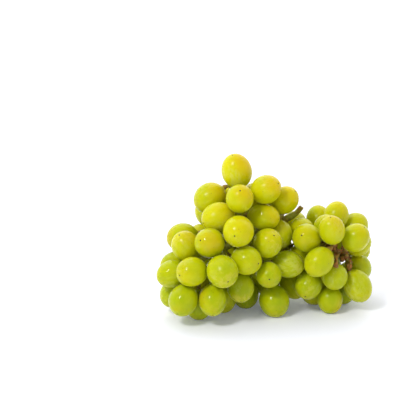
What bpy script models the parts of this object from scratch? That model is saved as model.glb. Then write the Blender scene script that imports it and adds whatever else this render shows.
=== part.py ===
"""A bunch of green grapes as picked, lying on its side on a flat surface.

Every grape is a plump turned solid at the end of its own stalk. A grape on the
outside is an object of its own, and those behind and underneath are pressed
together in twos and threes. The stalks, the side branches and the cut main
stem grew as one piece and are one object. Places are set out on a grid of
twentieths of the widest grape: X runs along the bunch, Y runs from its front
to its back and Z is up, with the surface at 0. The places are then settled, so
that no two grapes sink into each other and none sits in a stem, whatever the
sizes below are.
"""
import math

import bmesh
import bpy
import numpy as np
from mathutils import Vector

# Sizes in metres. Each can be changed by itself.
GRAPE_WIDTH = 0.020         # the widest grape, across
GRAPE_STRETCH = 1.15        # a grape's length over its width
GRAPE_GAP = 0.00035         # clearance between two grapes that touch
PRESSED_DEPTH = 0.0020      # how far two grapes of one clump sink into each other
FLOOR_PRESS = 0.0008        # how flat a grape lies on the surface
STEM_GAP = 0.0003           # clearance between a stem and a grape
STALK_CLEARANCE = 0.00045   # clearance between a grape and another grape's stalk
PEDUNCLE_WIDTH = 0.0056     # main stem, where it joins the bunch
PEDUNCLE_TIP_WIDTH = 0.0030 # main stem, at its cut
RACHIS_WIDTH = 0.0044       # stem inside the bunch
BRANCH_WIDTH = 0.0030       # side branches, at their feet
BRANCH_TIP_WIDTH = 0.0022   # side branches, at their tips
PEDICEL_WIDTH = 0.0017      # a grape's own stalk
COLLAR_WIDTH = 0.0036       # swollen end of a stalk, on the grape
COLLAR_LENGTH = 0.0014      # that end, straight out of the grape
SHORTEST_PEDICEL = 0.0035   # from the middle of a branch to the grape

GRID = GRAPE_WIDTH / 20     # the layout's unit
LOW_PLACE = 0.55 * GRAPE_WIDTH   # a clump's grape set lower than this stands on the surface
STALK_LEAD = 0.35 * GRAPE_WIDTH  # a stalk leaves its grape straight for about this far
MOST_BEND = 0.30 * GRAPE_WIDTH   # how far a stalk bends aside for a grape

GRAPE_SIDES = 10
GRAPE_BANDS = 6
STALK_STEPS = 5
WOOD_STEPS = 8              # points along each stretch of a branch that grapes keep off

# Settling, in turns and in shares of a move made each turn.
SETTLE_TURNS = 700
CALM_TURNS = 300            # last turns, with nothing pulling the grapes back
PULL = 0.06                 # back towards a grape's own place, less with each turn
AIM = 0.2                   # of a free grape's stem end towards the wood
GIVE_WAY = 0.5              # of a grape from another grape's stalk
BEND_ASIDE = 0.8            # of that stalk from the grape
RELAX = 0.995               # what is left of a bend after a turn

# Place, width and the way the stem end points, on the grid.
SHOULDER = (
    # crown
    ((-19, 24, 88), 19, (1, 1, -4)),
    ((-33, 24, 71), 19, (3, 1, 2)),
    ((-17, 3, 77), 17, (0, 1, -1)),
    ((0, 14, 80), 18, (-3, 2, -2)),
    ((13, 25, 71), 17, (-2, 1, -2)),
    ((-29, 8, 64), 19, (4, 2, 1)),
    ((-19, -6, 59), 19, (1, 4, 0)),
    ((-1, 14, 63), 17, (-4, 2, 0)),
    ((10, 20, 49), 16, (0, 2, 4)),
    # front
    ((1, 2, 49), 18, (-1, 2, -2)),
    ((-33, -6, 49), 18, (3, 4, -2)),
    ((-13, -8, 41), 18, (-1, 1, 0)),
    ((-28, -19, 37), 19, (-1, 3, 1)),
    ((-46, -14, 35), 18, (1, 1, 0)),
    ((2, -3, 30), 16, (0, 3, 0)),
    ((-16, -4, 22), 17, (0, 2, 2)),
    # left side
    ((-50, 5, 46), 18, (1, 1, -2)),
    ((-53, 23, 45), 18, (4, 0, 1)),
    ((-56, 17, 30), 17, (4, 1, 1)),
    ((-59, -2, 30), 17, (3, 1, 1)),
    ((-58, 8, 14), 17, (2, 1, 3)),
    ((-51, -14, 17), 18, (1, 2, 2)),
    ((-34, -14, 17), 17, (0, 1, 1)),
)
SADDLE = (
    ((15, 9, 33), 17, (-3, 1, 0)),
    ((23, 24, 31), 17, (0, 2, 1)),
    ((27, 12, 18), 17, (1, 3, 2)),
    ((26, 32, 42), 17, (0, 2, -1)),
    ((27, 11, 50), 18, (1, 2, -1)),
    ((25, 50, 43), 17, (0, -1, -1)),
)
WING = (
    ((37, 49, 50), 16, (0, -1, -2)),
    ((47, 37, 56), 16, (-1, -1, -4)),
    ((38, 23, 53), 16, (0, 1, -2)),
    ((41, 2, 57), 16, (1, 2, -6)),
    ((60, 41, 49), 17, (-3, -2, -2)),
    ((57, 10, 50), 17, (-2, 1, -3)),
    ((58, 26, 42), 16, (-2, -1, -1)),
    ((64, 46, 30), 16, (-3, -3, 0)),
    ((33, -2, 38), 17, (3, 2, 3)),
    ((44, 6, 25), 16, (0, -1, 2)),
    ((62, 30, 24), 17, (-2, -1, 2)),
    ((60, 14, 17), 18, (-2, 1, 4)),
)
# Grapes that carry the bunch: their height comes from the surface.
STANDING = (
    ((-42, 0, 9), 17, (0, 1, 3)),
    ((-26, 13, 9), 17, (0, 1, 3)),
    ((-11, 22, 9), 17, (0, 1, 3)),
    ((6, 6, 9), 19, (-1, 2, 2)),
    ((41, 14, 9), 16, (0, 1, 3)),
    ((52, 29, 9), 16, (0, 0, 1)),
)
# Grapes behind and under the others, in clumps that press together.
CLUMPS = (
    # behind the crown
    ((-22, 42, 66), (-7, 34, 69), (-15, 50, 56)),
    ((6, 40, 64), (3, 48, 47)),
    # back of the shoulder
    ((-40, 37, 42), (-33, 45, 57), (-31, 54, 42)),
    ((-53, 37, 28), (-42, 50, 27), (-43, 25, 12)),
    ((-14, 57, 40), (-23, 54, 25), (-6, 52, 25)),
    # under the shoulder
    ((-27, 39, 9), (-10, 40, 9)),
    ((14, 46, 34), (16, 45, 13)),
    # under the saddle
    ((15, 21, 17), (32, 30, 9), (27, 43, 17)),
    # middle of the bunch
    ((2, 29, 30), (3, 33, 12), (-9, 38, 41)),
    # back of the wing
    ((29, 52, 33), (45, 51, 41)),
    ((44, 47, 22), (59, 46, 16), (50, 36, 31)),
)
CLUMP_WIDTH = 18
# Grapes that grew longer than the others, by number, and by how much.
LONG_GRAPES = {1: 1.06, 8: 1.1, 9: 1.03, 23: 1.08, 24: 1.06, 31: 1.05, 33: 1.06, 38: 1.05, 41: 1.06}

# Stems: points on the grid from the thick end to the tip.
PEDUNCLE = ((25, 35, 64), (22, 35, 60), (17, 34, 57), (11, 33, 54), (4, 33, 51))
SHOULDER_RACHIS = ((4, 33, 51), (-9, 28, 46), (-23, 22, 41), (-35, 18, 36), (-43, 14, 32))
WING_RACHIS = ((4, 33, 51), (14, 39, 46), (24, 41, 42), (33, 35, 41), (39, 24, 42),
               (47, 18, 39), (56, 17, 31))
BRANCHES = (
    ((-9, 28, 46), (-13, 20, 56), (-17, 15, 66), (-18, 15, 73)),
    ((-20, 23, 42), (-24, 9, 44), (-27, 1, 44)),
    ((-26, 21, 40), (-27, 8, 32), (-29, -1, 28)),
    ((-5, 30, 47), (-2, 20, 37), (-1, 12, 29)),
    ((-8, 28, 46), (-9, 38, 56), (-8, 43, 64)),
    ((-18, 24, 43), (-22, 37, 42), (-25, 43, 40)),
    ((-12, 26, 45), (-11, 33, 30), (-10, 36, 24)),
    ((37, 29, 41), (39, 29, 31), (41, 29, 25)),
    ((16, 39, 45), (16, 38, 34), (15, 37, 27)),
)
# Stalks whose grape has dropped: foot on the wing's stem and tip.
BARE_PEDICELS = (
    ((43, 21, 41), (43, 13, 42)),
    ((46, 19, 39), (45, 11, 37)),
    ((50, 18, 37), (52, 10, 38)),
    ((50, 18, 37), (49, 10, 35)),
    ((55, 17, 32), (54, 10, 31)),
    ((49, 18, 38), (52, 22, 43)),
)

GRAPE_COLOUR = (0.48, 0.52, 0.03, 1.0)
SHADED_COLOUR = (0.28, 0.32, 0.03, 1.0)
STEM_COLOUR = (0.20, 0.17, 0.04, 1.0)


def unit(vectors):
    """Vectors of length one."""
    return vectors / np.linalg.norm(vectors, axis=-1, keepdims=True)


def with_middles(rows):
    """The rows that run along a line, and then the middle of each two neighbours."""
    return np.concatenate([rows, (rows[..., :-1, :] + rows[..., 1:, :]) / 2], axis=-2)


class Bunch:
    """The grapes' places, widths, stem directions and stalks, in metres."""

    def __init__(self):
        rows = SHOULDER + SADDLE + WING + STANDING
        self.first_standing = len(SHOULDER + SADDLE + WING)
        self.first_joined = len(rows)
        self.clumps = []
        for clump in CLUMPS:
            self.clumps.append(list(range(len(rows), len(rows) + len(clump))))
            rows += tuple((place, CLUMP_WIDTH, None) for place in clump)
        self.places = np.array([row[0] for row in rows], float) * GRID
        self.seeds = self.places.copy()
        self.radii = np.array([row[1] for row in rows], float) * GRID / 2
        self.halves = self.radii * GRAPE_STRETCH
        for number, longer in LONG_GRAPES.items():
            self.halves[number - 1] *= longer
        self.free = np.array([row[2] is None for row in rows])
        self.ways = unit(np.array([row[2] or (0, 0, 1) for row in rows], float))
        self.standing = np.zeros(len(rows), bool)
        self.standing[self.first_standing:self.first_joined] = True
        low = self.seeds[:, 2] < LOW_PLACE
        self.standing[self.first_joined:] = low[self.first_joined:]
        self.pressed = np.zeros((len(rows), len(rows)), bool)
        for first, *others in self.clumps:
            for other in others:
                self.pressed[first, other] = self.pressed[other, first] = True
        self.wood, self.wood_radii = wood_points()
        bare, bare_radii = bare_points()
        self.blocks = np.concatenate([self.wood, bare])
        self.block_radii = np.concatenate([self.wood_radii, bare_radii])
        self.bends = np.zeros_like(self.places)

    def support(self, which, ways):
        """How far each grape reaches along a direction."""
        along = np.sum(self.ways[which] * ways, axis=-1)
        across = self.radii[which] ** 2 * (1 - along ** 2)
        return np.sqrt(across + (self.halves[which] * along) ** 2)

    def poles(self):
        """Where each stalk's collar meets its grape."""
        return self.places + self.ways * (self.halves + STEM_GAP)[:, None]

    def stalks(self):
        """Points along each stalk, from its foot on the nearest wood to its grape."""
        ends = self.poles()
        aims = ends + self.ways * STALK_LEAD
        apart = np.linalg.norm(aims[:, None] - self.wood[None], axis=2)
        feet = self.wood[np.argmin(apart, axis=1)]
        reach = np.linalg.norm(feet - ends, axis=1, keepdims=True)
        bends = ends + self.ways * reach / 2 + self.bends
        collars = ends + self.ways * COLLAR_LENGTH
        along = np.linspace(0, 1, STALK_STEPS)[None, :, None]
        curve = ((1 - along) ** 2 * feet[:, None] + 2 * along * (1 - along) * bends[:, None]
                 + along ** 2 * collars[:, None])
        return np.concatenate([curve, ends[:, None]], axis=1)

    def turn_free_grapes(self):
        """Point a free grape's stem end at the nearest wood."""
        apart = np.linalg.norm(self.places[:, None] - self.wood[None], axis=2)
        aims = unit(self.wood[np.argmin(apart, axis=1)] - self.places)
        turned = unit((1 - AIM) * self.ways + AIM * aims)
        self.ways = np.where(self.free[:, None], turned, self.ways)

    def part_grapes(self):
        """Push overlapping grapes apart, and hold pressed ones together."""
        rows, columns = np.triu_indices(len(self.places), 1)
        between = self.places[columns] - self.places[rows]
        apart = np.linalg.norm(between, axis=1)
        ways = between / apart[:, None]
        reach = self.support(rows, ways) + self.support(columns, ways)
        pressed = self.pressed[rows, columns]
        short = reach + GRAPE_GAP - apart
        move = np.where(pressed, reach - PRESSED_DEPTH - apart, np.maximum(short, 0))
        shift = ways * (0.5 * move)[:, None]
        np.add.at(self.places, rows, -shift)
        np.add.at(self.places, columns, shift)

    def clear_wood(self):
        """Keep the grapes off the branches and at a stalk's length from them."""
        between = self.places[:, None] - self.blocks[None]
        apart = np.linalg.norm(between, axis=2)
        ways = between / apart[..., None]
        own = np.arange(len(self.places))[:, None]
        reach = self.support(own, ways) + self.block_radii[None] + STEM_GAP
        short = reach - apart
        worst = np.argmax(short, axis=1)
        index = np.arange(len(self.places))
        move = np.maximum(short[index, worst], 0)
        self.places += ways[index, worst] * move[:, None]
        curve = self.stalks()
        lengths = np.linalg.norm(curve[:, 0] - curve[:, -1], axis=1)
        self.places -= self.ways * np.maximum(SHORTEST_PEDICEL - lengths, 0)[:, None]

    def clear_stalks(self):
        """Keep every grape off the other grapes' stalks, which bend aside a little."""
        curve = with_middles(self.stalks())
        thick = np.full((STALK_STEPS + 1, 1), PEDICEL_WIDTH / 2)
        thick[-2:] = COLLAR_WIDTH / 2
        thick = with_middles(thick)[:, 0]
        between = self.places[:, None, None] - curve[None]
        apart = np.linalg.norm(between, axis=3)
        ways = between / apart[..., None]
        own = np.arange(len(self.places))[:, None, None]
        short = self.support(own, ways) + thick + STALK_CLEARANCE - apart
        index = np.arange(len(self.places))
        for near in (STALK_STEPS - 1, STALK_STEPS, -1):
            short[index, index, near] = 0
        flat = short.reshape(len(self.places), -1)
        worst = np.argmax(flat, axis=1)
        move = np.maximum(flat[index, worst], 0)
        push = ways.reshape(len(self.places), -1, 3)[index, worst] * move[:, None]
        self.places += GIVE_WAY * push
        np.add.at(self.bends, worst // len(thick), -BEND_ASIDE * push)
        self.bends *= RELAX
        bent = np.maximum(np.linalg.norm(self.bends, axis=1, keepdims=True), MOST_BEND)
        self.bends *= MOST_BEND / bent

    def lay_down(self):
        """Stand the carrying grapes on the surface and keep the others off it."""
        index = np.arange(len(self.places))
        down = np.tile([0.0, 0.0, -1.0], (len(index), 1))
        reach = self.support(index, down)
        lowest = np.where(self.standing, reach - FLOOR_PRESS, reach + GRAPE_GAP)
        height = np.maximum(self.places[:, 2], lowest)
        self.places[:, 2] = np.where(self.standing, lowest, height)

    def settle(self):
        """Move the grapes until each is clear of its neighbours and of the stems."""
        for turn in range(SETTLE_TURNS + CALM_TURNS):
            if turn < SETTLE_TURNS:
                pull = PULL * (1 - turn / SETTLE_TURNS)
                self.places += pull * (self.seeds - self.places)
                self.turn_free_grapes()
            self.clear_wood()
            self.clear_stalks()
            self.part_grapes()
            self.lay_down()


def smooth_line(stem, steps):
    """A smooth line through a stem's places on the grid, in metres."""
    places = np.array(stem, float) * GRID
    ends = np.concatenate([[2 * places[0] - places[1]], places, [2 * places[-1] - places[-2]]])
    line = []
    for before, start, end, after in zip(ends, ends[1:], ends[2:], ends[3:]):
        for share in np.arange(steps) / steps:
            line.append(0.5 * (2 * start + (end - before) * share
                               + (2 * before - 5 * start + 4 * end - after) * share ** 2
                               + (3 * start - before - 3 * end + after) * share ** 3))
    line.append(places[-1])
    return np.array(line)


def all_stems():
    """Each stem that carries stalks: its places and its width at both ends."""
    stems = [
        (PEDUNCLE, PEDUNCLE_TIP_WIDTH, PEDUNCLE_WIDTH),
        (SHOULDER_RACHIS, RACHIS_WIDTH, BRANCH_WIDTH),
        (WING_RACHIS, RACHIS_WIDTH, BRANCH_WIDTH),
    ]
    stems += [(branch, BRANCH_WIDTH, BRANCH_TIP_WIDTH) for branch in BRANCHES]
    return stems


def wood_points():
    """Points inside all the stems that carry stalks, with the stem's radius at each."""
    points = []
    radii = []
    for stem, start_width, end_width in all_stems():
        line = smooth_line(stem, WOOD_STEPS)
        points.append(line)
        radii.append(np.linspace(start_width, end_width, len(line)) / 2)
    return np.concatenate(points), np.concatenate(radii)


def bare_stalk(foot, tip):
    """A stalk whose grape has dropped: points and radii that end in a small knob."""
    start, end = np.array(foot, float) * GRID, np.array(tip, float) * GRID
    shares = (0.0, 0.45, 0.7, 0.9, 1.0)
    widths = (1.3 * PEDICEL_WIDTH, PEDICEL_WIDTH, 1.1 * PEDICEL_WIDTH, COLLAR_WIDTH, 0.75 * COLLAR_WIDTH)
    points = [start + (end - start) * share for share in shares]
    return points, [width / 2 for width in widths]


def bare_points():
    """Points inside the bare stalks, with the stalk's radius at each."""
    points = []
    radii = []
    for foot, tip in BARE_PEDICELS:
        stalk, widths = bare_stalk(foot, tip)
        points.append(with_middles(np.array(stalk)))
        radii.append(with_middles(np.array(widths)[:, None])[:, 0])
    return np.concatenate(points), np.concatenate(radii)


# --- objects


def new_collection(name, parent):
    collection = bpy.data.collections.new(name)
    parent.children.link(collection)
    return collection


def new_material(name, colour, roughness):
    material = bpy.data.materials.new(name)
    material.use_nodes = True
    shader = material.node_tree.nodes["Principled BSDF"]
    shader.inputs["Base Color"].default_value = colour
    shader.inputs["Roughness"].default_value = roughness
    shader.inputs["Metallic"].default_value = 0.0
    return material


def hide_tool(piece):
    """Mark an object as one that only shapes another."""
    piece.hide_render = True
    piece.display_type = "WIRE"


def grape_profile(radius, half):
    """Half of a grape's outline, from its stem end down to its blossom end."""
    mesh = bpy.data.meshes.new("grape_outline")
    angles = [math.pi * step / GRAPE_BANDS for step in range(GRAPE_BANDS + 1)]
    corners = [(radius * math.sin(angle), 0.0, half * math.cos(angle)) for angle in angles]
    corners[0] = (0.0, 0.0, half)
    corners[-1] = (0.0, 0.0, -half)
    mesh.from_pydata(corners, [(step, step + 1) for step in range(GRAPE_BANDS)], [])
    return mesh


def turn_profile(piece):
    screw = piece.modifiers.new("turn", "SCREW")
    screw.steps = GRAPE_SIDES
    screw.render_steps = GRAPE_SIDES
    screw.use_merge_vertices = True
    screw.merge_threshold = 0.00001
    screw.use_smooth_shade = True


def new_grape(name, bunch, which, collection):
    piece = bpy.data.objects.new(name, grape_profile(bunch.radii[which], bunch.halves[which]))
    collection.objects.link(piece)
    piece.location = bunch.places[which]
    piece.rotation_mode = "QUATERNION"
    piece.rotation_quaternion = Vector(bunch.ways[which]).to_track_quat("Z", "Y")
    turn_profile(piece)
    return piece


def add_boolean(piece, other, operation):
    boolean = piece.modifiers.new(operation.lower(), "BOOLEAN")
    boolean.operation = operation
    boolean.object = other
    boolean.solver = "EXACT"


def new_floor(tools):
    """The ground under the bunch, which flattens the grapes that carry it."""
    bpy.ops.mesh.primitive_cube_add(size=1)
    floor = bpy.context.object
    floor.name = "floor_block"
    for collection in list(floor.users_collection):
        collection.objects.unlink(floor)
    tools.objects.link(floor)
    floor.scale = (20 * GRAPE_WIDTH, 20 * GRAPE_WIDTH, GRAPE_WIDTH)
    floor.location = (0, 0, -GRAPE_WIDTH / 2)
    hide_tool(floor)
    return floor


def make_grapes(bunch, model, tools):
    """One object for each grape that shows, and one for each clump behind."""
    skin = new_material("grape_skin", GRAPE_COLOUR, 0.35)
    shaded_skin = new_material("shaded_grape_skin", SHADED_COLOUR, 0.4)
    floor = new_floor(tools)
    for which in range(bunch.first_joined):
        piece = new_grape(f"grape_{which + 1:02d}", bunch, which, model)
        piece.data.materials.append(skin)
        if bunch.standing[which]:
            add_boolean(piece, floor, "DIFFERENCE")
    for number, (first, *others) in enumerate(bunch.clumps):
        piece = new_grape(f"grape_clump_{number + 1:02d}", bunch, first, model)
        piece.data.materials.append(shaded_skin)
        for other in others:
            tool = new_grape(f"clump_grape_{other + 1:02d}", bunch, other, tools)
            tool.data.materials.append(shaded_skin)
            hide_tool(tool)
            add_boolean(piece, tool, "UNION")
        if bunch.standing[[first, *others]].any():
            add_boolean(piece, floor, "DIFFERENCE")


def new_tube(name, points, radii, sides, collection):
    """A closed mesh tube that follows points, with its own radius at each."""
    curve = bpy.data.curves.new(name, "CURVE")
    curve.dimensions = "3D"
    curve.bevel_depth = max(radii)
    curve.bevel_resolution = sides // 2 - 2
    curve.use_fill_caps = True
    spline = curve.splines.new("POLY")
    spline.points.add(len(points) - 1)
    for corner, place, radius in zip(spline.points, points, radii):
        corner.co = (*place, 1.0)
        corner.radius = radius / curve.bevel_depth
    guide = bpy.data.objects.new(name + "_guide", curve)
    collection.objects.link(guide)
    bpy.context.view_layer.update()
    evaluated = guide.evaluated_get(bpy.context.evaluated_depsgraph_get())
    mesh = bpy.data.meshes.new_from_object(evaluated)
    cage = bmesh.new()
    cage.from_mesh(mesh)
    bmesh.ops.remove_doubles(cage, verts=cage.verts, dist=0.00001)
    bmesh.ops.recalc_face_normals(cage, faces=cage.faces)
    cage.to_mesh(mesh)
    cage.free()
    tube = bpy.data.objects.new(name, mesh)
    collection.objects.link(tube)
    tube.matrix_world = guide.matrix_world
    bpy.data.objects.remove(guide)
    return tube


def shells(cage):
    """The closed surfaces of a mesh, as lists of faces that share edges."""
    left = set(cage.faces)
    while left:
        shell = [left.pop()]
        for face in shell:
            beside = {other for edge in face.edges for other in edge.link_faces}
            shell += beside & left
            left -= beside
        yield shell


def inner_volume(shell):
    """What a closed surface holds: below zero where it is the wall of a pocket."""
    return sum(face.calc_area() * face.normal.dot(face.calc_center_median()) for face in shell) / 3


def fill_pockets(piece):
    """Grow a piece's modifiers into its mesh, with solid wood where tubes closed off a pocket."""
    bpy.context.view_layer.update()
    evaluated = piece.evaluated_get(bpy.context.evaluated_depsgraph_get())
    mesh = bpy.data.meshes.new_from_object(evaluated)
    piece.modifiers.clear()
    piece.data = mesh
    cage = bmesh.new()
    cage.from_mesh(mesh)
    for shell in list(shells(cage)):
        if inner_volume(shell) < 0:
            bmesh.ops.delete(cage, geom=shell, context="FACES")
    cage.to_mesh(mesh)
    cage.free()


def stalk_radii():
    """Thick at the foot, thin along the stalk and swollen on the grape."""
    radii = [PEDICEL_WIDTH * 0.65] + [PEDICEL_WIDTH / 2] * (STALK_STEPS - 1)
    radii[-1] = (PEDICEL_WIDTH + COLLAR_WIDTH) / 4
    return radii + [COLLAR_WIDTH / 2]


def make_stem(bunch, model, tools):
    """Main stem, side branches and stalks, grown together."""
    pieces = new_collection("stem_pieces", tools)
    bark = new_material("stem_bark", STEM_COLOUR, 0.7)
    main_line = np.concatenate([smooth_line(PEDUNCLE, 2), smooth_line(SHOULDER_RACHIS, 3)[1:]])
    cut = len(smooth_line(PEDUNCLE, 2))
    widths = np.concatenate([np.linspace(PEDUNCLE_TIP_WIDTH, PEDUNCLE_WIDTH, cut),
                             np.linspace(RACHIS_WIDTH, BRANCH_WIDTH, len(main_line) - cut)])
    stem = new_tube("stem", main_line, list(widths / 2), 8, model)
    stem.data.materials.append(bark)
    wing_line = smooth_line(WING_RACHIS, 2)
    wing_radii = np.linspace(RACHIS_WIDTH, BRANCH_WIDTH, len(wing_line)) / 2
    tubes = [new_tube("wing_stem", wing_line, list(wing_radii), 8, pieces)]
    for number, branch in enumerate(BRANCHES):
        line = smooth_line(branch, 2)
        radii = np.linspace(BRANCH_WIDTH, BRANCH_TIP_WIDTH, len(line)) / 2
        tubes.append(new_tube(f"branch_{number + 1}", line, list(radii), 6, pieces))
    for number, stalk in enumerate(bunch.stalks()):
        tubes.append(new_tube(f"stalk_{number + 1:02d}", stalk, stalk_radii(), 6, pieces))
    for number, (foot, tip) in enumerate(BARE_PEDICELS):
        points, radii = bare_stalk(foot, tip)
        tubes.append(new_tube(f"bare_stalk_{number + 1}", points, radii, 6, pieces))
    for tube in tubes:
        hide_tool(tube)
    union = stem.modifiers.new("union", "BOOLEAN")
    union.operation = "UNION"
    union.operand_type = "COLLECTION"
    union.collection = pieces
    union.solver = "EXACT"
    fill_pockets(stem)
    stem.data.shade_smooth()
    stem.data.set_sharp_from_angle(angle=math.radians(50))


def centre_bunch(model, tools):
    """Put the middle of the bunch's footprint at the origin."""
    bpy.context.view_layer.update()
    graph = bpy.context.evaluated_depsgraph_get()
    corners = []
    for piece in model.objects:
        evaluated = piece.evaluated_get(graph)
        corners += [piece.matrix_world @ vertex.co for vertex in evaluated.data.vertices]
    corners = np.array(corners)
    middle = (corners.min(axis=0) + corners.max(axis=0)) / 2
    base = bpy.data.objects.new("bunch_base", None)
    model.objects.link(base)
    base.location = (-middle[0], -middle[1], 0.0)
    for piece in list(model.objects) + list(tools.all_objects):
        if piece is not base:
            piece.parent = base


def main():
    for piece in list(bpy.data.objects):
        bpy.data.objects.remove(piece, do_unlink=True)
    scene_collection = bpy.context.scene.collection
    model = new_collection("bunch_of_grapes", scene_collection)
    tools = new_collection("shaping_tools", scene_collection)
    bunch = Bunch()
    bunch.settle()
    make_grapes(bunch, model, tools)
    make_stem(bunch, model, tools)
    centre_bunch(model, tools)


main()
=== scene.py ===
import math
import random

import bmesh
import bpy
import numpy as np
from mathutils import Matrix, Vector, noise


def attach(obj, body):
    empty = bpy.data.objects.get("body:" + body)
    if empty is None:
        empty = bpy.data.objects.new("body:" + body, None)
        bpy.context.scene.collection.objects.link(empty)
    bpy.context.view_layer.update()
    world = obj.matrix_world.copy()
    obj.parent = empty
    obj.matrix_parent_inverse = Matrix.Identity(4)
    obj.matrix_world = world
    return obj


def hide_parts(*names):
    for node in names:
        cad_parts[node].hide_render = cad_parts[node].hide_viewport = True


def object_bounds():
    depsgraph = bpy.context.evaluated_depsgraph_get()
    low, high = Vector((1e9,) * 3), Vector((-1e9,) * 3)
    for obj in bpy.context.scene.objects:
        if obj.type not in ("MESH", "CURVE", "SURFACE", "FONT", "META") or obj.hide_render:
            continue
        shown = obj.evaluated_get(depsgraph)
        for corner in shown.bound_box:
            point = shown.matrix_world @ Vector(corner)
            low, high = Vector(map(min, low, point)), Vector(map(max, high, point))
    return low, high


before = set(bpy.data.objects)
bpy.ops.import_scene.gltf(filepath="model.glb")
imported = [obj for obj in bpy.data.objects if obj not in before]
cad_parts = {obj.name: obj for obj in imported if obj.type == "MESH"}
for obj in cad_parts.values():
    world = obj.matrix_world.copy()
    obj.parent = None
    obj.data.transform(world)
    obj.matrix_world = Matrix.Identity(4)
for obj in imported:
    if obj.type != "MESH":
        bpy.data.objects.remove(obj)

MM = 0.001

# Grapes.
CAD_GRAPE_CORNERS = 52      # about what one grape brings to a clump's solid
CLUMP_LETTERS = "abc"       # name the grapes of one clump
FLAT_LEVEL = 0.01 * MM      # corners below this belong to a grape's resting flat
GRAPE_SIDES = 44
GRAPE_RINGS = 26            # rings between the two ends' own rings
SWELL = 1.016               # a ripe grape's skin over the plain solid
LUMP_SHARE = 0.010          # unevenness, as a share of the radius
TALLEST = 100 * MM          # where the ripest grapes hang; lower grapes get a greener, darker tone, partly painted shade
SUN_HEIGHT = 0.40           # share of that height above which the sun reached
SUN_SIDE = (0.66, -0.42, 0.62)      # the side that turned amber on the vine
CONTACT_GAP = 0.06 * MM     # left between two skins that press together
CONTACT_SOFT = 0.12 * MM    # how gently a skin turns flat against its neighbour
FLOOR_SOFT = 0.10 * MM      # and against the surface it lies on
PRESS_REACH = 1.3           # neighbours within this many half lengths may press
COLLAR_RADIUS = 1.75 * MM   # the pad that a stalk's swollen end meets
PAD_HEIGHT = 0.20 * MM      # how far the pad stands out of the stem end
SCAR_RADIUS = 0.55 * MM     # the dry point at the blossom end

# Stem.
BARK_VOXEL = 0.37 * MM
BARK_SWELL = 0.18 * MM      # lumpy growth over the plain solid
CUT_SIDE = 14 * MM          # the cut end is the highest wood to the right of this
STALK_GAP = 0.30 * MM       # least room left between bark and skin
LUMP_LENGTH = 1.6 * MM      # from one lump of the bark to the next, about
GROWTH_SHARE = 0.6          # of the free room, the most that bark fills
WELD_WITHIN = 0.001 * MM
DRY_WING = (28 * MM, 45 * MM)       # along X, where green wood turns dry

# Camera and light, in metres where no unit is given.
CAMERA_PLACE = (-43.4 * MM, -652.1 * MM, 234.8 * MM)
CAMERA_DOWN = 14.0          # degrees below level
LENS = 94.95
SENSOR = 36.0
ROOM_LIGHT = 0.62           # from the side of the camera
BACK_LIGHT = 1.10           # from the white wall behind
FLOOR_SIZE = 12.0
FLOOR_GLOW = (0.06, 0.06, 0.11)     # lifts the shadow under the bunch
KEY_WAY = (-0.45, -0.58, 0.66)      # from the bunch towards the window
KEY_DISTANCE = 0.9
KEY_SIDE = 0.18
KEY_POWER = 4.0             # watts
PANEL_PLACE = (0.0, 2.4, 1.6)       # lights the floor far behind
PANEL_SIDE = 4.0
PANEL_POWER = 40.0


class Link:
    """An output of a material's node, which Python's operators turn into sums."""

    def __init__(self, recipe, socket):
        self.recipe = recipe
        self.socket = socket

    def math(self, operation, *others):
        return self.recipe.node("Math", {"operation": operation}, (self, *others))

    def __add__(self, other):
        return self.math("ADD", other)

    __radd__ = __add__

    def __mul__(self, other):
        return self.math("MULTIPLY", other)

    __rmul__ = __mul__

    def __sub__(self, other):
        return self.math("SUBTRACT", other)

    def __rsub__(self, other):
        return self.recipe.node("Math", {"operation": "SUBTRACT"}, (other, self))

    def clamp(self):
        return self.recipe.node("Clamp", {}, (self, 0.0, 1.0))

    def step(self, low, high):
        """0 below low, 1 above high and smooth in between."""
        settings = {"interpolation_type": "SMOOTHSTEP"}
        return self.recipe.node("MapRange", settings, (self, low, high, 0.0, 1.0))


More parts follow.
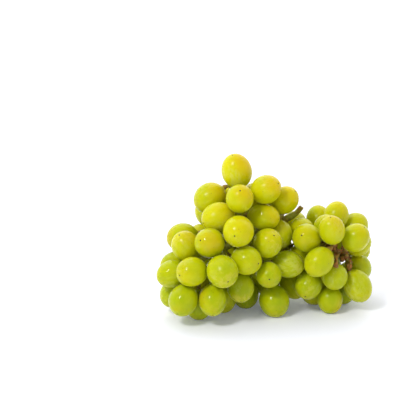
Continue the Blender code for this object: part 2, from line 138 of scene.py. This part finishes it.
class Recipe:
    """The nodes of a material or a world with one shader, and short ways to add more."""

    def __init__(self, owner, shader, **constants):
        self.owner = owner
        owner.use_nodes = True
        self.tree = owner.node_tree
        self.shader = self.tree.nodes[shader]
        for socket, value in constants.items():
            self.shader.inputs[socket.replace("_", " ")].default_value = value

    def feed(self, socket, value):
        if isinstance(value, Link):
            self.tree.links.new(value.socket, socket)
        else:
            socket.default_value = value

    def node(self, kind, settings, inputs, output=0):
        """Add a node: its settings first, then its inputs by order or by name."""
        node = self.tree.nodes.new("ShaderNode" + kind)
        for key, value in settings.items():
            setattr(node, key, value)
        pairs = inputs.items() if isinstance(inputs, dict) else enumerate(inputs)
        for key, value in pairs:
            self.feed(node.inputs[key], value)
        return Link(self, node.outputs[output])

    def attribute(self, name):
        return self.node("Attribute", {"attribute_name": name}, (), "Fac")

    def place(self, kind="Object"):
        return self.node("TexCoord", {}, (), kind)

    def shift(self, vector, amount):
        """Move a vector by the same amount along X, Y and Z."""
        step = self.node("CombineXYZ", {}, (amount, amount, amount))
        return self.node("VectorMath", {"operation": "ADD"}, (vector, step))

    def stretch(self, vector, scale):
        return self.node("VectorMath", {"operation": "MULTIPLY"}, (vector, scale))

    def along(self, vector, axis):
        """One of a vector's X, Y and Z."""
        return self.node("SeparateXYZ", {}, (vector,), axis)

    def noise(self, vector, scale, detail=2.0, roughness=0.5):
        inputs = {"Vector": vector, "Scale": scale, "Detail": detail, "Roughness": roughness}
        return self.node("TexNoise", {}, inputs, "Fac")

    def dots(self, vector, scale):
        """Distance to the nearest of some scattered points."""
        inputs = {"Vector": vector, "Scale": scale, "Randomness": 1.0}
        return self.node("TexVoronoi", {"feature": "F1"}, inputs, "Distance")

    def mix(self, factor, first, second):
        """first where factor is 0 and second where it is 1; both are colours."""
        settings = {"data_type": "RGBA", "clamp_factor": True}
        inputs = {0: factor, 6: first, 7: second}
        return self.node("Mix", settings, inputs, 2)

    def bump(self, height, strength, distance):
        inputs = {"Strength": strength, "Distance": distance, "Height": height}
        return self.node("Bump", {}, inputs)

    def finish(self, **outputs):
        for name, value in outputs.items():
            self.feed(self.shader.inputs[name.replace("_", " ")], value)
        return self.owner


def new_material(name, **constants):
    return Recipe(bpy.data.materials.new(name), "Principled BSDF", **constants)


def colour(red, green, blue):
    return (red, green, blue, 1.0)


# --- the grapes' places, from the frame


def node_points(name):
    """A CAD node's corners, each once."""
    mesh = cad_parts[name].data
    points = np.array([vertex.co for vertex in mesh.vertices], float)
    return np.unique(points.round(7), axis=0)


def fit_grape(points, turns=30):
    """Centre, long axis, radius and half length of the egg shape that points lie on.

    Points off the shape, such as those of a joint with another grape, lose their
    weight as the turns go by.
    """
    points = points[points[:, 2] > FLAT_LEVEL]
    middle = points.mean(axis=0)
    x, y, z = ((points - middle) / MM).T
    terms = np.stack([x * x, y * y, z * z, 2 * x * y, 2 * x * z, 2 * y * z, 2 * x, 2 * y, 2 * z], axis=1)
    weights = np.ones(len(points))
    for _ in range(turns):
        answer = np.linalg.lstsq(terms * weights[:, None], weights, rcond=None)[0]
        weights = 1 / (1 + ((terms @ answer - 1) / 0.02) ** 2)
    a, b, c, d, e, f = answer[:6]
    shape = np.array([[a, d, e], [d, b, f], [e, f, c]])
    centre = -np.linalg.solve(shape, answer[6:])
    values, ways = np.linalg.eigh(shape / (1 + centre @ shape @ centre))
    half, radius = 1 / math.sqrt(values[0]), 1 / math.sqrt((values[1] + values[2]) / 2)
    return centre * MM + middle, ways[:, 0], radius * MM, half * MM


def split_points(points, count, turns=40):
    """Sort a clump's corners into its grapes, nearest middle by nearest middle."""
    middles = [points[np.argmax(points[:, 0])]]
    while len(middles) < count:
        apart = np.min([np.linalg.norm(points - middle, axis=1) for middle in middles], axis=0)
        middles.append(points[np.argmax(apart)])
    middles = np.array(middles)
    for _ in range(turns):
        apart = np.linalg.norm(points[:, None] - middles[None], axis=2)
        group = np.argmin(apart, axis=1)
        middles = np.array([points[group == number].mean(axis=0) for number in range(count)])
    return [points[group == number] for number in range(count)]


class Grape:
    """Where one grape is, which way its stem end points and how large it is."""

    def __init__(self, name, node, points, stem_points):
        self.name = name
        self.node = node
        self.centre, way, self.radius, self.half = fit_grape(points)
        ends = [self.centre + way * self.half, self.centre - way * self.half]
        apart = [np.min(np.linalg.norm(stem_points - end, axis=1)) for end in ends]
        self.way = way if apart[0] < apart[1] else -way

    def reach(self, way):
        """How far the grape reaches along a direction."""
        along = self.way @ way
        return math.sqrt(self.radius ** 2 * (1 - along ** 2) + (self.half * along) ** 2)

    def turn(self):
        """The rotation that takes +Z to the stem end."""
        return np.array(Vector(self.way).to_track_quat("Z", "Y").to_matrix())


def read_grapes():
    stem_points = node_points("stem")
    grapes = []
    for node in sorted(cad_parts):
        if node.startswith("grape_clump"):
            points = node_points(node)
            count = round(len(points) / CAD_GRAPE_CORNERS)
            for letter, part in zip(CLUMP_LETTERS, split_points(points, count)):
                grapes.append(Grape(f"fruit_{node[6:]}{letter}", node, part, stem_points))
        elif node.startswith("grape_"):
            grapes.append(Grape(f"fruit_{node[6:]}", node, node_points(node), stem_points))
    return grapes


# --- a grape's shape


def grape_outline(radius, half):
    """Half outline from the stem end to the blossom end, as (width, height) pairs."""
    pad = [(share * COLLAR_RADIUS, half + PAD_HEIGHT) for share in (0.45, 0.8)]
    pad += [(COLLAR_RADIUS, half + 0.14 * MM), (1.25 * COLLAR_RADIUS, half - 0.10 * MM)]
    start = math.asin(1.55 * COLLAR_RADIUS / radius)
    stop = math.pi - math.asin(2.6 * SCAR_RADIUS / radius)
    angles = np.linspace(start, stop, GRAPE_RINGS)
    body = [(radius * math.sin(angle), half * math.cos(angle)) for angle in angles]
    scar = [(1.8 * SCAR_RADIUS, -half + 0.06 * MM), (1.3 * SCAR_RADIUS, -half + 0.05 * MM),
            (1.0 * SCAR_RADIUS, -half + 0.16 * MM), (0.7 * SCAR_RADIUS, -half + 0.24 * MM),
            (0.45 * SCAR_RADIUS, -half + 0.16 * MM), (0.2 * SCAR_RADIUS, -half - 0.02 * MM)]
    return pad + body + scar


def spin_outline(outline, top, bottom):
    """Points and faces of a round body about Z with one point at each end."""
    angles = np.arange(GRAPE_SIDES) * 2 * math.pi / GRAPE_SIDES
    round_ways = np.stack([np.cos(angles), np.sin(angles)], axis=1)
    rings = [np.column_stack([round_ways * width, np.full(GRAPE_SIDES, height)])
             for width, height in outline]
    points = np.concatenate([[[0, 0, top]], *rings, [[0, 0, bottom]]])
    around = list(range(GRAPE_SIDES))
    after = around[1:] + around[:1]
    last = len(points) - 1
    faces = [(0, 1 + here, 1 + there) for here, there in zip(around, after)]
    for ring in range(len(rings) - 1):
        first = 1 + ring * GRAPE_SIDES
        faces += [(first + here, first + GRAPE_SIDES + here, first + GRAPE_SIDES + there, first + there)
                  for here, there in zip(around, after)]
    first = 1 + (len(rings) - 1) * GRAPE_SIDES
    faces += [(first + here, last, first + there) for here, there in zip(around, after)]
    return points, faces


def random_way(chance):
    way = np.array([chance.gauss(0, 1) for _ in range(3)])
    return way / np.linalg.norm(way)


def add_lumps(points, radius, chance, count=5):
    """Swell and dent a round body a little with crossing waves, and taper it."""
    points = points.copy()
    for _ in range(count):
        way = random_way(chance)
        waves = chance.uniform(1.5, 3.2)
        start = chance.uniform(0, 2 * math.pi)
        height = LUMP_SHARE * np.cos(points @ way / radius * waves + start) / 2
        points *= (1 + height)[:, None]
    taper = chance.uniform(0.0, 0.035)
    points[:, :2] *= (1 + taper * points[:, 2] / (1.15 * radius))[:, None]
    return points


def flatten_against(points, place, way, distance, soft):
    """Hold points on one side of a plane, with a soft turn where they meet it."""
    over = (points - place) @ way - distance
    eased = over - soft * np.logaddexp(0, over / soft)
    return points + (eased - over)[:, None] * way


def press_grapes(points, grape, grapes):
    """Flatten a grape where its neighbours and the surface press on it."""
    for other in grapes:
        between = other.centre - grape.centre
        apart = np.linalg.norm(between)
        if other is grape or apart > PRESS_REACH * (grape.half + other.half):
            continue
        way = between / apart
        slack = apart - grape.reach(way) - other.reach(way)
        distance = grape.reach(way) + slack / 2 - CONTACT_GAP
        points = flatten_against(points, grape.centre, way, distance, CONTACT_SOFT)
    down = np.array([0.0, 0.0, -1.0])
    return flatten_against(points, np.zeros(3), down, 0.0, FLOOR_SOFT)


def new_grape(grape, grapes, material):
    """A grape's fine body, which stands for its CAD solid."""
    chance = random.Random(grape.name)
    outline = grape_outline(grape.radius * SWELL, grape.half)
    points, faces = spin_outline(outline, grape.half + PAD_HEIGHT, -grape.half - 0.05 * MM)
    below_pad = points[:, 2] < grape.half - 0.3 * MM
    points = np.where(below_pad[:, None], add_lumps(points, grape.radius, chance), points)
    turn = grape.turn()
    points = press_grapes(points @ turn.T + grape.centre, grape, grapes)
    points = (points - grape.centre) @ turn
    mesh = bpy.data.meshes.new(grape.name)
    mesh.from_pydata(points.tolist(), [], faces)
    mesh.shade_smooth()
    piece = bpy.data.objects.new(grape.name, mesh)
    bpy.context.scene.collection.objects.link(piece)
    piece.matrix_world = Matrix.Translation(grape.centre) @ Matrix(turn.tolist()).to_4x4()
    mesh.materials.append(material)
    return piece


# --- a grape's colour


def set_attribute(mesh, name, values):
    attribute = mesh.attributes.new(name, "FLOAT", "POINT")
    attribute.data.foreach_set("value", np.asarray(values, np.float32))


def one_side(points, radius, way, start, gain):
    """0 over most of a grape, rising from the share start to 1 where way points."""
    return np.clip((points @ way / radius - start) * gain, 0, 1)


def tint_grape(piece, grape):
    """Write each point's ripeness, with painted shade that darkens low grapes, and how sunned, blushed and
    bloomed it is.
    """
    chance = random.Random("tint " + grape.name)
    mesh = piece.data
    points = np.array([vertex.co for vertex in mesh.vertices], float)
    high = grape.centre[2] / TALLEST
    # Greener and darker lower in the bunch: partly ripeness, partly painted shade over the low grapes.
    ripe = 0.10 + 0.7 * high + chance.uniform(-0.15, 0.15)
    sunned = np.clip(high - SUN_HEIGHT, 0, 1) * 1.9
    sun = one_side(points, grape.radius, grape.turn().T @ SUN_SIDE, 0.35, 1.5) * sunned
    blush = one_side(points, grape.radius, random_way(chance), 0.55, 2.2) * chance.choice((0, 0, 0.2, 0.5))
    bloom = one_side(points, grape.radius, random_way(chance), 0.1, 1.3) * chance.uniform(0.1, 0.9)
    tints = {"ripe": ripe, "sun": sun, "blush": blush, "bloom": bloom,
             "seed": chance.uniform(0, 20), "polish": chance.uniform(0, 1) ** 1.3,
             "height": points[:, 2] / grape.half,
             "width": np.linalg.norm(points[:, :2], axis=1) / MM}
    for name, values in tints.items():
        set_attribute(mesh, name, np.broadcast_to(values, len(points)))


def make_grape_skin():
    skin = new_material("grape_skin", Subsurface_Weight=0.75, Subsurface_Radius=(1.0, 0.9, 0.12),
                        Subsurface_Scale=0.0040, IOR=1.42, Specular_IOR_Level=0.22,
                        Sheen_Weight=0.13, Sheen_Roughness=0.25, Sheen_Tint=colour(1.0, 1.0, 0.5))
    shifted = skin.shift(skin.place(), skin.attribute("seed"))
    ripe = skin.attribute("ripe")
    cloud = skin.noise(shifted, 90.0, 3.0)
    veins = skin.noise(skin.stretch(shifted, (1.0, 1.0, 0.22)), 520.0, 3.0, 0.6)
    # Green low in the bunch to yellow high up; the darker green is partly painted shade.
    flesh = skin.mix((ripe + (cloud - 0.5) * 0.9).clamp(),
                     colour(0.35, 0.43, 0.002), colour(0.66, 0.62, 0.0005))
    flesh = skin.mix(veins.step(0.52, 0.75) * 0.22, flesh, colour(0.66, 0.67, 0.04))
    flesh = skin.mix(skin.attribute("blush") * (0.4 + cloud), flesh, colour(0.58, 0.43, 0.008))
    patches = skin.noise(skin.stretch(shifted, (1.0, 1.0, 0.5)), 300.0, 4.0, 0.65)
    bloom = (skin.attribute("bloom") * patches.step(0.46, 0.62)).clamp()
    flesh = skin.mix(bloom * 0.42, flesh, colour(0.62, 0.64, 0.17))
    flesh = skin.mix(skin.attribute("sun") * (0.4 + patches), flesh, colour(0.67, 0.48, 0.002))
    specks = 1 - skin.dots(shifted, 310.0).step(0.06, 0.12)
    flesh = skin.mix(specks * 0.55, flesh, colour(0.24, 0.17, 0.02))
    height = skin.attribute("height")
    width = skin.attribute("width")
    blossom_end = (0 - height).step(0.85, 0.95)
    amber = (0 - height).step(0.35, 0.95) * patches.step(0.40, 0.60)
    flesh = skin.mix(amber * 0.22, flesh, colour(0.62, 0.46, 0.004))
    scar = (1 - width.step(0.35, 0.62)) * blossom_end
    flesh = skin.mix(scar, flesh, colour(0.06, 0.035, 0.01))
    ring = (1 - width.step(1.7, 2.3)) * height.step(0.8, 0.95)
    flesh = skin.mix(ring * 0.8, flesh, colour(0.42, 0.30, 0.10))
    grain = skin.noise(shifted, 1900.0, 2.0)
    roughness = 0.28 - skin.attribute("polish") * 0.20
    roughness = roughness + bloom * 0.2 + (patches - 0.5) * 0.08 + scar * 0.3
    normal = skin.bump(grain * 0.5 + veins, 0.22, 0.00012)
    return skin.finish(Base_Color=flesh, Roughness=roughness, Normal=normal)


# --- the stem


def gap_to_grapes(points, grapes):
    """About how far each point is from the nearest grape."""
    gap = np.full(len(points), 1.0)
    for grape in grapes:
        inside = (points - grape.centre) @ grape.turn()
        level = np.linalg.norm(inside / (grape.radius, grape.radius, grape.half), axis=1)
        gap = np.minimum(gap, np.linalg.norm(inside, axis=1) * (1 - 1 / level))
    return gap


def swell_bark(mesh, grapes):
    """Give the bark lumps, as far as the grapes beside it leave room."""
    points = np.array([vertex.co for vertex in mesh.vertices], float)
    ways = np.array([vertex.normal for vertex in mesh.vertices], float)
    lumps = np.array([noise.noise(Vector(point / LUMP_LENGTH)) for point in points])
    swell = BARK_SWELL * (0.8 + 1.8 * lumps)
    room = np.maximum(gap_to_grapes(points, grapes) - STALK_GAP, 0)
    points += ways * np.minimum(swell, GROWTH_SHARE * room)[:, None]
    mesh.vertices.foreach_set("co", points.ravel())
    # The lump value also paints shade into the bark's dents, through the stem's colour.
    set_attribute(mesh, "lump", lumps)


def new_stem(material, grapes):
    """The stem's solid again with joints that flow, bark and knots."""
    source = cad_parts["stem"]
    piece = bpy.data.objects.new("stem_wood", source.data.copy())
    bpy.context.scene.collection.objects.link(piece)
    weld = bmesh.new()
    weld.from_mesh(piece.data)
    bmesh.ops.remove_doubles(weld, verts=weld.verts, dist=WELD_WITHIN)
    weld.to_mesh(piece.data)
    weld.free()
    remesh = piece.modifiers.new("even_mesh", "REMESH")
    remesh.mode = "VOXEL"
    remesh.voxel_size = BARK_VOXEL
    remesh.use_smooth_shade = True
    smooth = piece.modifiers.new("flow", "SMOOTH")
    smooth.factor = 0.5
    smooth.iterations = 3
    graph = bpy.context.evaluated_depsgraph_get()
    mesh = bpy.data.meshes.new_from_object(piece.evaluated_get(graph))
    piece.modifiers.clear()
    piece.data = mesh
    swell_bark(mesh, grapes)
    mesh.name = "stem_wood"
    mesh.materials.clear()
    mesh.materials.append(material)
    mesh.shade_smooth()
    return piece


def tint_stem(piece, grapes):
    """Write how near each point of the stem is to a grape, and to the cut end."""
    mesh = piece.data
    points = np.array([vertex.co for vertex in mesh.vertices], float)
    nearest = np.full(len(points), 1.0)
    for grape in grapes:
        end = grape.centre + grape.way * grape.half
        nearest = np.minimum(nearest, np.linalg.norm(points - end, axis=1))
    set_attribute(mesh, "from_grape", nearest / MM)
    wing = points[points[:, 0] > CUT_SIDE]
    cut = wing[np.argmax(wing[:, 2])]
    set_attribute(mesh, "from_cut", np.linalg.norm(points - cut, axis=1) / MM)


def make_bark():
    bark = new_material("stem_bark", Subsurface_Weight=0.1, Subsurface_Radius=(1.0, 0.6, 0.2),
                        Subsurface_Scale=0.001, IOR=1.45, Specular_IOR_Level=0.4)
    place = bark.place()
    near = bark.attribute("from_grape")
    mottle = bark.noise(place, 420.0, 4.0, 0.6)
    patches = bark.noise(place, 130.0, 3.0, 0.6)
    green = bark.mix(mottle, colour(0.22, 0.24, 0.012), colour(0.40, 0.40, 0.035))
    lump = bark.attribute("lump")
    # Dry wood's brown, with painted shade: near black in the bark's dents, where the lump value is low,
    # and orange on the knobs.
    brown_and_dent_shade = bark.mix((mottle * 0.7 + lump.step(-0.35, 0.45) * 0.6).clamp(),
                     colour(0.020, 0.012, 0.002), colour(0.38, 0.14, 0.018))
    wing = bark.along(place, "X").step(*DRY_WING)
    cut_end = 1 - bark.attribute("from_cut").step(2.2, 4.5)
    dried = (wing + cut_end).clamp() * (0.45 + mottle.step(0.40, 0.55) * 0.55)
    corky = (patches.step(0.50, 0.62) * 0.5 + dried).clamp()
    wood = bark.mix(corky, green, brown_and_dent_shade)
    collar = 1 - near.step(1.4, 3.0)
    wood = bark.mix(collar * 0.7, wood, colour(0.33, 0.17, 0.04))
    pores = 1 - bark.dots(place, 900.0).step(0.1, 0.25)
    wood = bark.mix(pores * 0.5, wood, colour(0.05, 0.03, 0.01))
    fine = bark.noise(place, 2600.0, 3.0, 0.7)
    normal = bark.bump(fine + mottle * 2 - pores, 0.6, 0.0002)
    return bark.finish(Base_Color=wood, Roughness=0.62 + (mottle - 0.5) * 0.3, Normal=normal)


# --- stage


def make_floor():
    bpy.ops.mesh.primitive_plane_add(size=FLOOR_SIZE)
    floor = bpy.context.object
    floor.name = "floor"
    paint = new_material("floor_white", Roughness=0.6, Specular_IOR_Level=0.25,
                         Emission_Color=colour(*FLOOR_GLOW), Emission_Strength=1.0)
    floor.data.materials.append(paint.finish(Base_Color=colour(0.88, 0.89, 0.94)))


def make_world():
    """A white room, brighter behind the bunch than on the camera's side."""
    sky = Recipe(bpy.data.worlds.new("pale_studio"), "Background", Color=colour(1.0, 1.0, 1.0))
    depth = sky.along(sky.place("Generated"), "Y")
    settings = {"interpolation_type": "SMOOTHSTEP"}
    strength = sky.node("MapRange", settings, (depth, -0.35, 0.35, ROOM_LIGHT, BACK_LIGHT))
    bpy.context.scene.world = sky.finish(Strength=strength)


def add_light(name, place, aim, size, power):
    """A square lamp of a given side, in watts."""
    data = bpy.data.lights.new(name, "AREA")
    data.size = size
    data.energy = power
    light = bpy.data.objects.new(name, data)
    bpy.context.scene.collection.objects.link(light)
    light.location = place
    light.rotation_mode = "QUATERNION"
    light.rotation_quaternion = (Vector(aim) - Vector(place)).to_track_quat("-Z", "Y")


def make_lights():
    low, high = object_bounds()
    middle = (low + high) / 2
    key_place = middle + Vector(KEY_WAY) * KEY_DISTANCE
    add_light("window_light", key_place, middle, KEY_SIDE, KEY_POWER)
    below_panel = (*PANEL_PLACE[:2], 0.0)
    add_light("back_panel", PANEL_PLACE, below_panel, PANEL_SIDE, PANEL_POWER)


def make_camera():
    data = bpy.data.cameras.new("camera")
    data.lens = LENS
    data.sensor_width = SENSOR
    data.clip_end = 20
    camera = bpy.data.objects.new("camera", data)
    bpy.context.scene.collection.objects.link(camera)
    camera.location = CAMERA_PLACE
    camera.rotation_euler = (math.radians(90 - CAMERA_DOWN), 0, 0)
    bpy.context.scene.camera = camera


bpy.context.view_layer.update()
bpy.context.scene.view_settings.view_transform = "Standard"
make_camera()
make_world()
make_lights()
make_floor()

grapes = read_grapes()
skin = make_grape_skin()
for grape in grapes:
    fruit = new_grape(grape, grapes, skin)
    tint_grape(fruit, grape)
    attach(fruit, "root")
    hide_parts(grape.node)
    "shaded_grape_skin" if "clump" in grape.node else "grape_skin"
stem = new_stem(make_bark(), grapes)
tint_stem(stem, grapes)
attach(stem, "root")
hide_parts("stem")
